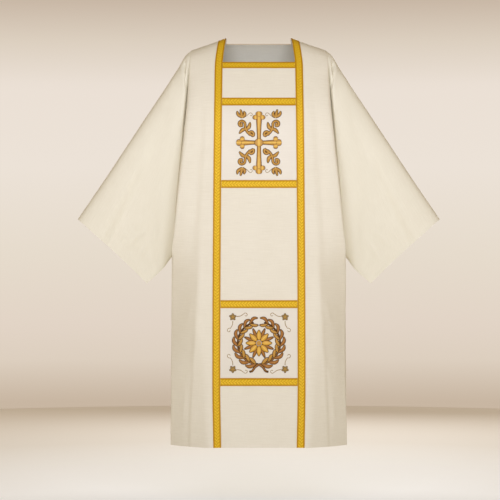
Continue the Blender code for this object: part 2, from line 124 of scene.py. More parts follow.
# height, how boxy the level section of the front and the back is (2 is an ellipse)
SQUARENESS = (
    (0.000, 2.5, 2.5),
    (-0.101, 5.0, 3.6),
    (-0.200, 9.0, 4.4),
    (-0.300, 13.0, 4.6),
    (-0.500, 14.0, 4.4),
    (-0.672, 12.0, 3.8),
    (-TUNIC_LENGTH, 8.0, 3.2),
)

# The front is flat between two lines on each side, and falls back beyond them: height, how
# far from the middle the line is, how steeply the cloth falls back outside it.
BESIDE_GALLOON = (
    (-0.780, 0.142, 0.00),
    (-0.930, 0.142, 0.40),
    (-1.020, 0.141, 0.58),
    (-1.110, 0.141, 0.66),
    (-TUNIC_LENGTH, 0.140, 0.85),
)
SIDE_TURN = (
    (-0.250, 0.156, 0.00),
    (-0.440, 0.162, 0.16),
    (-0.565, 0.166, 0.27),
    (-0.656, 0.170, 0.52),
    (-0.747, 0.1765, 1.00),
    (-0.838, 0.181, 1.08),
    (-0.928, 0.187, 1.15),
    (-1.019, 0.195, 1.02),
    (-1.110, 0.201, 1.08),
    (-TUNIC_LENGTH, 0.211, 1.30),
)
NEAR_ROUND, SIDE_ROUND = 0.010, 0.006  # how far the turns are rounded

# height, distance of the middle of the long galloon from the garment's middle
BAND_SET = (
    (0.000, NECK_HALF_WIDTH + GALLOON_WIDTH / 2),
    (-0.030, 0.1165),
    (-0.090, 0.1225),
    (-0.200, 0.1235),
    (-0.460, 0.1262),
    (-0.820, 0.1285),
    (-1.055, 0.1290),
    (-TUNIC_LENGTH, 0.1260),
)

# the cloth's large soft folds, which hang from the shoulders
HANGING_FOLDS = (
    # panel, side, across at the start, at the hem, width inward, outward, rise, starts, full, gone
    ("front", -1, 0.194, 0.237, 0.006, 0.034, -0.0030, -0.80, -1.02, -2.0),
    ("front", 1, 0.194, 0.237, 0.006, 0.034, -0.0030, -0.80, -1.02, -2.0),
    ("front", -1, 0.166, 0.240, 0.013, 0.021, -0.0065, -0.12, -0.34, -0.76),
    ("front", 1, 0.166, 0.240, 0.013, 0.021, -0.0065, -0.12, -0.34, -0.76),
    ("back", 1, 0.052, 0.066, 0.026, 0.026, -0.0060, -0.14, -0.60, -2.0),
    ("back", -1, 0.060, 0.058, 0.028, 0.028, -0.0055, -0.16, -0.70, -2.0),
    ("back", 1, 0.178, 0.196, 0.026, 0.026, 0.0070, -0.20, -0.65, -2.0),
    ("back", -1, 0.184, 0.192, 0.027, 0.027, 0.0065, -0.22, -0.75, -2.0),
    ("back", 1, 0.236, 0.262, 0.022, 0.022, -0.0100, -0.30, -0.85, -2.0),
    ("back", -1, 0.242, 0.256, 0.023, 0.023, -0.0095, -0.34, -0.80, -2.0),
)
FOLD_ENDING = 0.25  # a fold dies out over this, down to the height where it has gone
SIDE_FADE = 0.045  # the folds die out over this, up to the armhole or side seam


def through(table, column):
    """A smooth curve through the rows of a table, which never overshoots them."""
    at, value = np.array(sorted((row[0], row[column]) for row in table)).T
    slope = np.diff(value) / np.diff(at)
    level = slope[:-1] * slope[1:] <= 0
    mean = 2 * slope[:-1] * slope[1:] / np.where(level, 1, slope[:-1] + slope[1:])
    tangent = np.concatenate([slope[:1], np.where(level, 0, mean), slope[-1:]])

    def read(x):
        x = np.clip(x, at[0], at[-1])
        i = np.clip(np.searchsorted(at, x, side="right") - 1, 0, len(at) - 2)
        span = at[i + 1] - at[i]
        t = (x - at[i]) / span
        rise = t * t * (3 - 2 * t)
        bend = span * t * (1 - t) * (tangent[i] * (1 - t) - tangent[i + 1] * t)
        return value[i] * (1 - rise) + value[i + 1] * rise + bend

    return read


def eased(x):
    """0 below 0, 1 above 1, and a smooth step between."""
    x = np.clip(x, 0, 1)
    return x * x * (3 - 2 * x)


half_width_at = through(HALF_WIDTH, 1)
depth_at = {"front": through(DEPTH, 1), "back": through(DEPTH, 2)}
squareness_at = {"front": through(SQUARENESS, 1), "back": through(SQUARENESS, 2)}
front_lines = [through(table, k) for table in (BESIDE_GALLOON, SIDE_TURN) for k in (1, 2)]
band_set_at = through(BAND_SET, 1)
FACING = {"front": -1, "back": 1}

# The cloth is laid out as rows of points, with the named levels among them.
ROW_STEP = 0.006  # half of it in the hem's own fold
fine_levels = []
row_of = {}
heights = [(name, np.resize(height, 3)) for name, *height in LEVELS]
for (name, high), (_, low) in zip(heights, heights[1:]):
    row_of[name] = len(fine_levels)
    fall = max(abs(a - b) for a, b in zip(high, low))
    parts = math.ceil(fall / (ROW_STEP / 2 if name == "hem_fold" else ROW_STEP))
    for k in range(parts):
        fine_levels.append([a + (b - a) * k / parts for a, b in zip(high, low)])
row_of["hem"] = len(fine_levels)
fine_levels.append(heights[-1][1])
fine_levels = np.array(fine_levels)

MIDDLE_CELLS = 18  # from the garment's middle to the long galloon
BAND_CELLS = 4  # under the long galloon
# shares of the way from the galloon to the armhole or side seam, closer near the seam
SIDE_SHARES = np.concatenate([np.linspace(0, 0.82, 30), np.linspace(0.82, 1, 15)[1:]])
MIDDLE = MIDDLE_CELLS + BAND_CELLS + len(SIDE_SHARES) - 1  # the middle column

# The sleeve's rings: each value at the armhole and at the cuff.
RING_HALF_DEPTH = (0.086, 0.058)
RING_SKEW = (0.48, 0.60)  # below 1 the ring is fullest above its middle
UPPER_BLUNTNESS = (1.05, 0.40)  # of the ring's upper end: 0 is square, 1 is pointed
LOWER_BLUNTNESS = (0.50, 1.05)
LOWER_END = 0.7  # share of the way down a ring where the lower end's form takes over
SLEEVE_HEAD = 0.18  # the upper end has its cuff's form from this far along
# share of the way down the armhole, how far its seam is drawn in below the cloth beside it
SEAM_SINK = (
    (0.0, 0.0),
    (0.08, 0.004),
    (0.15, 0.012),
    (0.30, 0.012),
    (0.44, 0.005),
    (0.60, 0.0),
    (1.0, 0.0),
)
SEAM_SLIT = 0.007  # share of the sleeve's length over which it comes back out
seam_sink_at = through(SEAM_SINK, 1)


def between(ends, share):
    """A value some share of the way from one end to the other."""
    return ends[0] + (ends[1] - ends[0]) * share


def ring_half_depth(share, along):
    """Half the worn sleeve's thickness, a share of the way down a ring, along the sleeve."""
    along = np.asarray(along)
    upper = between(UPPER_BLUNTNESS, eased(along / SLEEVE_HEAD))
    lower = between(LOWER_BLUNTNESS, along)
    bluntness = between((upper, lower), eased(share / LOWER_END))
    round_it = np.sin(np.pi * np.clip(share, 0, 1) ** between(RING_SKEW, along)).clip(0)
    drawn_in = seam_sink_at(share) * np.exp(-((along / SEAM_SLIT) ** 2))
    return between(RING_HALF_DEPTH, along) * round_it**bluntness - drawn_in


def share_down_armhole(z):
    """How far down the armhole a height is: 0 at the shoulder's tip, 1 at the underarm."""
    return (SHOULDER_TIP[1] - z) / (SHOULDER_TIP[1] - UNDERARM[1])


def run_along(points, axis=0):
    """Length along a line or a grid of points, from its first edge."""
    steps = np.linalg.norm(np.diff(points, axis=axis), axis=-1)
    start = np.zeros_like(np.take(steps, [0], axis=axis))
    return np.concatenate([start, np.cumsum(steps, axis=axis)], axis=axis)


def soft_least(one, other, rounding):
    """The lesser of two, rounded off where they cross."""
    share = np.clip(0.5 + 0.5 * (other - one) / rounding, 0, 1)
    return other * (1 - share) + one * share - rounding * share * (1 - share)


def falling_back(x, depth, front_depth, z):
    """Depths along a level row of the front, which falls back outside its two lines."""
    near, near_fall, side, side_fall = (at(z) for at in front_lines)
    first = front_depth + NEAR_ROUND - (x - near) * near_fall
    knee = min(front_depth, front_depth + NEAR_ROUND - (side - near) * near_fall)
    second = knee + SIDE_ROUND - (x - side) * side_fall
    return soft_least(soft_least(depth, first, NEAR_ROUND), second, SIDE_ROUND)


def hanging_fold(panel, side, arc, length, z):
    """How far the large folds lift a level row of one half of a panel."""
    rise = np.zeros_like(arc)
    for name, fold_side, first, last, inward, outward, height, starts, full, gone in HANGING_FOLDS:
        if name == panel and fold_side == side and z <= starts:
            middle = first + (last - first) * (starts - z) / (starts + TUNIC_LENGTH)
            width = np.where(arc < middle, inward, outward)
            grown = eased((starts - z) / (starts - full)) * eased((z - gone) / FOLD_ENDING)
            rise += height * grown * np.exp(-(((arc - middle) / width) ** 2))
    return rise * eased((length - arc) / SIDE_FADE)


SECTION_POINTS = 900  # of the level section that a row is laid along
LEAN_STEPS = 240  # parts of the row, over one of which the cloth's lean is read each way


def body_cloth(panel):
    """The panel's points, with how far across the cloth and from the side seam each lies."""
    points, across, from_side = [], [], []
    for front_z, back_z, side_z in fine_levels:
        z = front_z if panel == "front" else back_z
        half_width = half_width_at(side_z)
        side_depth = ring_half_depth(share_down_armhole(side_z), 0)
        power = 2 / squareness_at[panel](z)
        turn = np.linspace(0, np.pi / 2, SECTION_POINTS)
        x = half_width * np.sin(turn) ** power
        d = side_depth + (depth_at[panel](z) - side_depth) * np.cos(turn).clip(0) ** power
        if panel == "front":
            d = falling_back(x, d, depth_at[panel](z), z)
        run = run_along(np.stack([x, d], -1))
        inner = band_set_at(z) - GALLOON_WIDTH / 2
        outer = inner + GALLOON_WIDTH
        to_band = inner * np.linspace(0, 1, MIDDLE_CELLS + 1)
        under_band = inner + GALLOON_WIDTH * np.linspace(0, 1, BAND_CELLS + 1)[1:]
        arc = np.concatenate([to_band, under_band, between((outer, run[-1]), SIDE_SHARES[1:])])
        step = run[-1] / LEAN_STEPS
        before, after = (arc - step).clip(0), (arc + step).clip(max=run[-1])
        lean_x = np.interp(after, run, x) - np.interp(before, run, x)
        lean_d = np.interp(after, run, d) - np.interp(before, run, d)
        size = np.hypot(lean_x, lean_d)
        at_x, at_d = np.interp(arc, run, x), np.interp(arc, run, d)
        neck_x = at_x[MIDDLE_CELLS]
        height = z + (side_z - z) * ((at_x - neck_x) / (half_width - neck_x)).clip(0, 1)
        halves = {}
        for side in (-1, 1):
            rise = hanging_fold(panel, side, arc, run[-1], z)
            x_there = side * (at_x - rise * lean_d / size)
            y_there = FACING[panel] * (at_d + rise * lean_x / size)
            halves[side] = np.stack([x_there, y_there, height], -1)
        points.append(np.concatenate([halves[-1][:0:-1], halves[1]]))
        across.append(np.concatenate([-arc[:0:-1], arc]))
        from_side.append(run[-1] - np.abs(across[-1]))
    return np.array(points), np.array(across), np.array(from_side)


# x and z along the sleeve's upper and lower edges, from the armhole to the cuff
SLEEVE_TOP = (
    SHOULDER_TIP,
    (0.2232, -0.0510),
    (0.2360, -0.0735),
    (0.2778, -0.1415),
    (0.3370, -0.2300),
    (0.3960, -0.3190),
    (0.4700, -0.4310),
    CUFF_TOP,
)
SLEEVE_FOOT = (UNDERARM, (0.2765, -0.6860), (0.2945, -0.7115), (0.3200, -0.7360), CUFF_BOTTOM)
SLEEVE_FOLDS = (
    # sheet, share down the ring at the armhole, at the cuff, width above, below, rise, starts, full
    ("front", 0.16, 0.44, 0.075, 0.500, -0.0125, 0.10, 0.75),
    ("back", 0.28, 0.46, 0.120, 0.120, -0.0065, 0.10, 0.70),
    ("back", 0.58, 0.76, 0.090, 0.090, 0.0045, 0.10, 0.60),
)
# share of the way down the armhole, how far the sleeve stands out beside it
SLEEVE_PUFF = ((0.0, 0.010), (0.20, 0.014), (0.40, 0.0095), (0.60, 0.0065), (1.0, 0.005))
PUFF_RISE = 0.026  # share of the sleeve's length over which it comes
PUFF_FALL = (0.04, 0.54)  # and over which it goes again
CUFF_HOLLOW = 0.004  # the cuff's edge bows in by this between its corners
EDGE_SHARE = 0.1  # share of a ring, at both ends, over which the folds fade out
# shares of the way along the sleeve, closer at the armhole and at the cuff's hem
ALONG = np.concatenate(
    [np.linspace(0, 0.05, 16), np.linspace(0.05, 0.93, 62)[1:], np.linspace(0.93, 1, 15)[1:]]
)


def edge_line(points):
    """A function from 0 to 1 along a sleeve's edge, by length, to its x and z."""
    run = run_along(np.array(points))
    table = [(r / run[-1], *p) for r, p in zip(run, points)]
    across, up = through(table, 1), through(table, 2)
    return lambda share: np.stack([across(share), up(share)], -1)


sleeve_top_at = edge_line(SLEEVE_TOP)
sleeve_foot_at = edge_line(SLEEVE_FOOT)
puff_at = through(SLEEVE_PUFF, 1)


def sleeve_half(sheet, share, along):
    """Points of the front or back half of the wearer's left sleeve."""
    top, foot = sleeve_top_at(along), sleeve_foot_at(along)
    spot = between((top, foot), share[..., None])
    chord_x, armhole_z = (between(ends, share) for ends in zip(SHOULDER_TIP, UNDERARM))
    x = spot[..., 0] + (half_width_at(armhole_z) - chord_x) * (1 - along)
    z = spot[..., 1]
    hollow = CUFF_HOLLOW * eased(along) * 4 * share * (1 - share)
    down = (foot - top) / np.linalg.norm(foot - top, axis=-1, keepdims=True)
    x, z = x + hollow * down[..., 1], z - hollow * down[..., 0]
    falls, fallen = PUFF_FALL
    beside = eased(along / PUFF_RISE) * (1 - eased((along - falls) / (fallen - falls)))
    puff = puff_at(share) * beside * np.sqrt(np.sin(np.pi * share))
    depth = ring_half_depth(share, along) + puff
    for name, first, last, above, below, height, starts, full in SLEEVE_FOLDS:
        if name == sheet:
            middle = between((first, last), along)
            width = np.where(share < middle, above, below)
            grown = eased((along - starts) / (full - starts))
            edge = eased(share / EDGE_SHARE) * eased((1 - share) / EDGE_SHARE)
            depth += height * grown * np.exp(-(((share - middle) / width) ** 2)) * edge
    return np.stack([x, FACING[sheet] * depth - CUFF_FORWARD * eased(along), z], -1)


def sleeve_cloth():
    """Rings of the left sleeve, each round from the shoulder down the front and up the back."""
    shares = share_down_armhole(fine_levels[: row_of["underarm"] + 1, 2])
    share, along = np.meshgrid(shares, ALONG)
    front = sleeve_half("front", share, along)
    back = sleeve_half("back", share, along)[:, -2:0:-1]
    return np.concatenate([front, back], 1), len(shares)


def cell_corners(rows, columns, round_it=False):
    """The four corners of each cell of a grid of points, as rows of point numbers."""
    last = columns if round_it else columns - 1
    i, j = np.meshgrid(np.arange(rows - 1), np.arange(last), indexing="ij")
    right = (j + 1) % columns
    upper, lower = i * columns, (i + 1) * columns
    return np.stack([upper + j, lower + j, lower + right, upper + right], -1)


CREASE_END = 0.4  # share of a crease's length, at both ends, over which it dies out


def crease(flat, path, width, rise):
    """A soft ridge or trough along a path on the flat cloth, as a height at each point."""
    path = np.array(path, float)
    run = run_along(path)
    nearest = np.full(flat.shape[:-1], 1e9)
    share = np.zeros(flat.shape[:-1])
    for a, b, start, end in zip(path, path[1:], run, run[1:]):
        t = np.clip(((flat - a) @ (b - a)) / ((b - a) @ (b - a)), 0, 1)
        gap = np.linalg.norm(flat - (a + t[..., None] * (b - a)), axis=-1)
        closer = gap < nearest
        nearest = np.where(closer, gap, nearest)
        share = np.where(closer, (start + t * (end - start)) / run[-1], share)
    ends = eased(share / CREASE_END) * eased((1 - share) / CREASE_END)
    return rise * ends * np.exp(-((nearest / width) ** 2))


SHARP_EDGE = 55  # degrees; the cloth's faces are smooth, and its cut edges aren't


def placed(name, data):
    """A new object in the scene."""
    made = bpy.data.objects.new(name, data)
    bpy.context.scene.collection.objects.link(made)
    return made


def stitch_up(name, outer, inner, corners, uv, material):
    """A piece of the vestment: a closed wall between two sides, with its edges turned in."""
    count = outer.size // 3
    points = np.concatenate([outer.reshape(-1, 3), inner.reshape(-1, 3)])
    steps = np.stack([corners, np.roll(corners, -1, 1)], -1).reshape(-1, 2)
    code = steps[:, 0] * count + steps[:, 1]
    back = steps[:, 1] * count + steps[:, 0]
    rim = steps[~np.isin(code, back)]
    rims = np.stack([rim[:, 1], rim[:, 0], rim[:, 0] + count, rim[:, 1] + count], -1)
    faces = np.concatenate([corners, corners[:, ::-1] + count, rims])
    used, compact = np.unique(faces, return_inverse=True)
    compact = compact.reshape(faces.shape)
    mesh = bpy.data.meshes.new(name)
    mesh.from_pydata(points[used].tolist(), [], compact.tolist())
    layer = mesh.uv_layers.new(name="cloth")
    layer.data.foreach_set("uv", uv.reshape(-1, 2)[faces.reshape(-1) % count].ravel())
    mesh.shade_smooth()
    mesh.set_sharp_from_angle(angle=math.radians(SHARP_EDGE))
    mesh.materials.append(material)
    piece = placed(name, mesh)
    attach(piece, "root")
    return piece


body = {}
for panel in FACING:
    points, across, from_side = body_cloth(panel)
    rows, columns = across.shape
    corners = cell_corners(rows, columns)
    neck = row_of["front_neck" if panel == "front" else "back_neck"]
    corners[:neck, MIDDLE - MIDDLE_CELLS:MIDDLE + MIDDLE_CELLS] = -1
    corners = corners.reshape(-1, 4)
    corners = corners[corners[:, 0] >= 0]
    if panel == "back":
        corners = corners[:, ::-1]
    height = fine_levels[:, 0 if panel == "front" else 1]
    flat = np.stack([across, np.repeat(height[:, None], columns, 1)], -1)
    body[panel] = {"points": points, "corners": corners, "flat": flat, "side": from_side}

left_points, half_ring = sleeve_cloth()
sleeve = {}
for name, side in (("sleeve_right", -1), ("sleeve_left", 1)):
    points = left_points * (side, 1, 1)
    corners = cell_corners(*points.shape[:2], round_it=True).reshape(-1, 4)
    if side > 0:
        corners = corners[:, ::-1]
    sleeve[name] = {"points": points, "corners": corners}

sewn = [*body.values(), *sleeve.values()]


def find_outward():
    """Gives each sewn part its outward direction at each point, the same where they meet."""
    spots = np.concatenate([part["points"].reshape(-1, 3) for part in sewn])
    # points that agree to a hundredth of a millimetre are one
    _, same = np.unique(np.round(spots * 1e5), axis=0, return_inverse=True)
    same = same.reshape(-1)
    total = np.zeros((same.max() + 1, 3))
    starts = np.cumsum([0, *(part["points"].size // 3 for part in sewn)])
    for part, first in zip(sewn, starts):
        corners = part["corners"] + first
        a, b, c, d = (spots[corners[:, k]] for k in range(4))
        face = np.cross(c - a, d - b)
        for k in range(4):
            np.add.at(total, same[corners[:, k]], face)
    total /= np.linalg.norm(total, axis=1, keepdims=True) + 1e-12
    for part, first, end in zip(sewn, starts, starts[1:]):
        part["outward"] = total[same[first:end]].reshape(part["points"].shape)


# Smaller creases: the panel or half, the shares of the rise on the wearer's right and left,
# the path on the flat cloth, the half width and the rise. On the body a path's points are
# distances from the middle, measured along the cloth, and heights;
BODY_CREASES = (
    ("front", 1.0, 0.8, ((0.150, -0.700), (0.158, -0.860), (0.165, -0.990)), 0.012, -0.0012),
    ("front", 0.9, 1.0, ((0.190, -0.930), (0.212, -1.010), (0.246, -1.075)), 0.012, 0.0016),
    ("front", 1.0, 0.9, ((0.236, -1.060), (0.250, -1.150), (0.256, -1.220)), 0.010, 0.0016),
    ("front", 0.8, 1.0, ((0.199, -0.780), (0.225, -0.860), (0.250, -0.905)), 0.014, 0.0018),
    ("front", 0.2, 1.0, ((0.298, -0.740), (0.304, -0.950), (0.308, -1.240)), 0.036, -0.0050),
    ("back", 1.0, 0.7, ((0.160, -0.640), (0.172, -0.820), (0.184, -1.020)), 0.014, -0.0016),
    ("back", 0.8, 1.0, ((0.205, -0.880), (0.226, -1.000), (0.250, -1.120)), 0.013, 0.0018),
    ("back", 1.0, 0.6, ((0.236, -0.760), (0.258, -0.850), (0.274, -0.905)), 0.014, 0.0018),
    ("back", 0.5, 1.0, ((0.262, -1.000), (0.272, -1.100), (0.276, -1.200)), 0.011, 0.0016),
    ("back", 0.9, 0.6, ((0.135, -0.150), (0.158, -0.240), (0.170, -0.350)), 0.015, -0.0014),
)
# on the sleeves they are x, as on the left one, and z
ARMHOLE_GROOVE = ((0.225, -0.064), (0.2285, -0.090), (0.225, -0.125), (0.220, -0.165))
SLEEVE_CREASES = (
    ("front", 1.0, 1.0, ((0.217, -0.050), (0.236, -0.086), (0.234, -0.125)), 0.0065, 0.0022),
    ("front", 1.0, 1.0, ARMHOLE_GROOVE, 0.0040, -0.0160),
    ("front", 1.0, 0.7, ((0.340, -0.590), (0.372, -0.612), (0.402, -0.640)), 0.009, 0.0020),
    ("front", 0.8, 1.0, ((0.330, -0.625), (0.352, -0.650), (0.372, -0.690)), 0.008, 0.0018),
    ("front", 1.0, 0.9, ((0.300, -0.560), (0.322, -0.600), (0.330, -0.650)), 0.010, 0.0016),
    ("front", 0.7, 1.0, ((0.392, -0.600), (0.418, -0.628), (0.436, -0.655)), 0.007, -0.0014),
    ("back", 1.0, 0.8, ((0.216, -0.052), (0.232, -0.088), (0.230, -0.130)), 0.0065, 0.0018),
    ("back", 0.8, 1.0, ((0.352, -0.575), (0.382, -0.602), (0.406, -0.632)), 0.009, 0.0018),
    ("back", 1.0, 0.7, ((0.318, -0.590), (0.338, -0.632), (0.350, -0.680)), 0.009, 0.0017),
    ("back", 0.6, 1.0, ((0.270, -0.170), (0.312, -0.270), (0.338, -0.360)), 0.012, 0.0014),
)
SIDE_SEAM_FLAT = 0.020  # the creases die out over this, up to the side seam or the armhole
ARMHOLE_FLAT = 0.012  # and over this share of the sleeve's length, up to the armhole
find_outward()
for panel, on_right, on_left, path, width, rise in BODY_CREASES:
    part = body[panel]
    share = np.where(part["flat"][..., 0] < 0, on_right, on_left)
    flat = np.stack([np.abs(part["flat"][..., 0]), part["flat"][..., 1]], -1)
    lift = crease(flat, path, width, rise) * share * eased(part["side"] / SIDE_SEAM_FLAT)
    part["points"] = part["points"] + lift[..., None] * part["outward"]
for name, part in sleeve.items():
    flat = np.stack([np.abs(part["points"][..., 0]), part["points"][..., 2]], -1)
    lift = np.zeros(flat.shape[:2])
    for half, on_right, on_left, path, width, rise in SLEEVE_CREASES:
        there = slice(0, half_ring) if half == "front" else slice(half_ring, None)
        share = on_right if name == "sleeve_right" else on_left
        lift[:, there] += share * crease(flat[:, there], path, width, rise)
    lift *= eased(ALONG / ARMHOLE_FLAT)[:, None]
    part["points"] = part["points"] + lift[..., None] * part["outward"]
find_outward()


def shader_of(name):
    """A new material, its node tree and its main shader."""
    made = bpy.data.materials.new(name)
    made.use_nodes = True
    return made, made.node_tree, made.node_tree.nodes["Principled BSDF"]


def node(tree, kind, inputs=(), **settings):
    """Adds a shader node; inputs maps socket names or numbers to values or to other sockets."""
    made = tree.nodes.new("ShaderNode" + kind)
    for key, value in settings.items():
        setattr(made, key, value)
    for key, value in dict(inputs).items():
        if isinstance(value, bpy.types.NodeSocket):
            tree.links.new(value, made.inputs[key])
        else:
            made.inputs[key].default_value = value
    return made


def sum_of(tree, operation, *values):
    """The output of one arithmetic node."""
    return node(tree, "Math", dict(enumerate(values)), operation=operation).outputs[0]


def ranged(tree, value, low, high, to_low=0.0, to_high=1.0):
    """A value between two bounds, as one between two others."""
    bounds = {"From Min": low, "From Max": high, "To Min": to_low, "To Max": to_high}
    return node(tree, "MapRange", {"Value": value, **bounds}).outputs["Result"]


def blended(tree, share, first, second):
    """A colour between two, by a share."""
    ramp = node(tree, "ValToRGB", {"Fac": share})
    ramp.color_ramp.elements[0].color = (*first, 1)
    ramp.color_ramp.elements[1].color = (*second, 1)
    return ramp.outputs["Color"]


def cloth_scale(tree, across, along):
    """Positions on the flat cloth, with so many units to the metre each way."""
    flat = node(tree, "UVMap", uv_map="cloth").outputs["UV"]
    return node(tree, "Mapping", {"Vector": flat, "Scale": (across, along, 1)}).outputs["Vector"]


def noise(tree, across, along, detail):
    """Soft spots on the flat cloth, with about so many to the metre each way."""
    sockets = {"Vector": cloth_scale(tree, across, along), "Scale": 1, "Detail": detail}
    return node(tree, "TexNoise", sockets).outputs["Fac"]


def threads(tree, direction, scale):
    """Even waves across or along the cloth."""
    sockets = {"Vector": cloth_scale(tree, 1, 1), "Scale": scale}
    return node(tree, "TexWave", sockets, bands_direction=direction).outputs["Fac"]


def mixed(tree, parts, low, high):
    """Several noises, each with its share, as one from 0 at a low sum to 1 at a high one."""
    total = 0.0
    for value, share in parts:
        total = sum_of(tree, "MULTIPLY_ADD", value, share, total)
    return ranged(tree, total, low, high)


def give_look(tree, shader, colour, relief, values):
    """Joins a colour and a fine relief (height, strength, depth) to the shader, and sets it."""
    tree.links.new(colour, shader.inputs["Base Color"])
    height, strength, depth = relief
    bump = node(tree, "Bump", {"Height": height, "Strength": strength, "Distance": depth})
    tree.links.new(bump.outputs["Normal"], shader.inputs["Normal"])
    for name, value in values.items():
        shader.inputs[name].default_value = value


def cream_weave(name, dark, light):
    """Fine plain weave with thicker threads here and there, as in a wool and silk cloth."""
    made, tree, shader = shader_of(name)
    slub, warp, tone = noise(tree, 22, 420, 3), noise(tree, 520, 34, 2), noise(tree, 9, 9, 2)
    shade = mixed(tree, ((slub, 0.5), (warp, 0.25), (tone, 0.25)), 0.3, 0.7)
    weave = sum_of(tree, "MULTIPLY", threads(tree, "X", 180), threads(tree, "Y", 200))
    height = sum_of(tree, "MULTIPLY_ADD", slub, 1.5, weave)
    values = {"Roughness": 0.78, "Specular IOR Level": 0.3}
    values.update({"Sheen Weight": 0.12, "Sheen Roughness": 0.4})
    give_look(tree, shader, blended(tree, shade, dark, light), (height, 0.5, 0.00025), values)
    return made


cream = cream_weave("cream_cloth", (0.772, 0.722, 0.585), (0.846, 0.801, 0.670))
# the sleeves' threads lie the other way; their cream is painted a little lighter than the body's,
# as painted light for the light they catch too little of
painted_light_sleeve_cream = cream_weave("cream_cloth_sleeves_painted_lighter", (0.802, 0.760, 0.615), (0.876, 0.841, 0.701))
SLEEVE_RUN = 0.6  # length of the cloth from the armhole to the cuff, for its weave
for part in sleeve.values():
    along = np.repeat(ALONG[:, None] * SLEEVE_RUN, part["points"].shape[1], 1)
    part["flat"] = np.stack([along, run_along(part["points"], 1)], -1)

# each node's cloth as a closed piece, in place of its part
for name, part in {**body, **sleeve}.items():
    inner = part["points"] - CLOTH * part["outward"]
    cloth = painted_light_sleeve_cream if name in sleeve else cream
    piece = stitch_up("cloth_" + name, part["points"], inner, part["corners"], part["flat"], cloth)
    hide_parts(name)


# ======================================================================================
# The two squares of ivory satin that carry the embroidery, laid on the front between
# the long galloons and held under the edges of the bars above and below.
SEAM_GAP = 0.0003
ORPHREY_THICK = 0.0008
SATIN_FACE = SEAM_GAP + ORPHREY_THICK
SQUARE_CELLS = (79, 76)  # down and across a square
EDGE_GAP = 0.06  # from the galloon beside it, in cells of the cloth
# node: the foot of the bar above, the top of the bar below
SQUARES = {
    "orphrey_chest": ("chest_bar_1_foot", "chest_bar_2_top"),
    "orphrey_skirt": ("skirt_bar_1_foot", "skirt_bar_2_top"),
}


def over_cloth(panel, row, column, lift):
    """Points at fractions of a panel's rows and columns, lifted off its face."""
    part = body[panel]
    i = np.clip(np.floor(row).astype(int), 0, part["points"].shape[0] - 2)
    j = np.clip(np.floor(column).astype(int), 0, part["points"].shape[1] - 2)
    s, t = (row - i)[..., None], (column - j)[..., None]

    def sampled(grid):
        upper = grid[i, j] * (1 - t) + grid[i, j + 1] * t
        lower = grid[i + 1, j] * (1 - t) + grid[i + 1, j + 1] * t
        return upper * (1 - s) + lower * s

    facing = sampled(part["outward"])
    facing /= np.linalg.norm(facing, axis=-1, keepdims=True)
    return sampled(part["points"]) + facing * np.asarray(lift)[..., None]


def satin():
    """Ivory satin: a smooth close face with a soft gloss."""
    made, tree, shader = shader_of("ivory_satin")
    thread, tone = noise(tree, 18, 700, 2), noise(tree, 14, 14, 1)
    shade = mixed(tree, ((thread, 0.6), (tone, 0.4)), 0.3, 0.7)
    colour = blended(tree, shade, (0.745, 0.690, 0.577), (0.792, 0.742, 0.633))
    give_look(tree, shader, colour, (thread, 0.3, 0.0002), {"Roughness": 0.5, "Sheen Weight": 0.1})
    return made


ivory = satin()
left_edge, right_edge = MIDDLE - MIDDLE_CELLS + EDGE_GAP, MIDDLE + MIDDLE_CELLS - EDGE_GAP
for name, (top, foot) in SQUARES.items():
    rows = np.linspace(row_of[top] + EDGE_GAP, row_of[foot] - EDGE_GAP, SQUARE_CELLS[0] + 1)
    columns = np.linspace(left_edge, right_edge, SQUARE_CELLS[1] + 1)
    column, row = np.meshgrid(columns, rows)
    under = over_cloth("front", row, column, SEAM_GAP)
    face = over_cloth("front", row, column, SATIN_FACE)
    flat = np.stack([run_along(face, 1), -run_along(face)], -1)
    corners = cell_corners(*row.shape).reshape(-1, 4)
    piece = stitch_up("satin_" + name, face, under, corners, flat, ivory)
    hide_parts(name)


# ======================================================================================
# The embroidery on both squares: satin stitch in silk and gold thread over a low padding,
# each shape edged with a couched dark cord. The chest has a cross with trefoil ends among
# scrolls and sprigs, the skirt a laurel wreath round a rosette; both are ordinary forms.
STITCH_LAYER = 0.0005  # a shape that lies over others is raised by this
CORD = 0.0017  # width of the dark edge that shows round a shape
FINE_CORD = 0.0008  # and round a small flower
CORD_RISE, SILK_RISE, CURL_RISE = 0.0006, 0.0012, 0.0005  # how high the threads stand
TIP = 0.0002  # half width that a shape's pointed ends keep
LEAF_FORM = 0.85  # below 1 a leaf is fuller, and widest before its middle
ACROSS = np.linspace(-1, 1, 7)  # the points across a shape
DOME_SPAN = 0.95  # of a round dome's width, so that a shape's edge stands up a little
DOME_WIDTH = 0.003  # shapes of less than this half width are lower
LIGHT_SHARE, LIGHT_LEAST = 0.42, 0.0028  # painted highlight strands: their share of a shape's half width, the least half width


def smooth_line(points, count=30):
    """Points along a smooth curve through the given ones."""
    p = np.array(points, float)
    p = np.concatenate([2 * p[:1] - p[1:2], p, 2 * p[-1:] - p[-2:-1]])
    t = np.linspace(0, len(p) - 3, count)
    i = np.minimum(t.astype(int), len(p) - 4)
    f = (t - i)[:, None]
    a, b, c, d = (p[i + k] for k in range(4))
    square, cube = (2 * a - 5 * b + 4 * c - d) * f**2, (3 * b - a - 3 * c + d) * f**3
    return (2 * b + (c - a) * f + square + cube) / 2


def leaf(points, widest, layer=0, count=30):
    """A pointed shape along a smooth line, as its path, half widths and layer."""
    t = np.linspace(0, 1, count)
    width = widest * np.sin(np.pi * t**LEAF_FORM).clip(0) ** LEAF_FORM + TIP
    return smooth_line(points, count), width, layer


def stem(path, first, last, layer=0):
    """A stroke along a path, with round ends, that tapers from one half width to another."""
    run = run_along(path)
    near = np.minimum(run / first, (run[-1] - run) / last).clip(0, 1)
    width = between((first, last), run / run[-1]) * np.sqrt(1 - (1 - near) ** 2) + TIP
    return path, width, layer


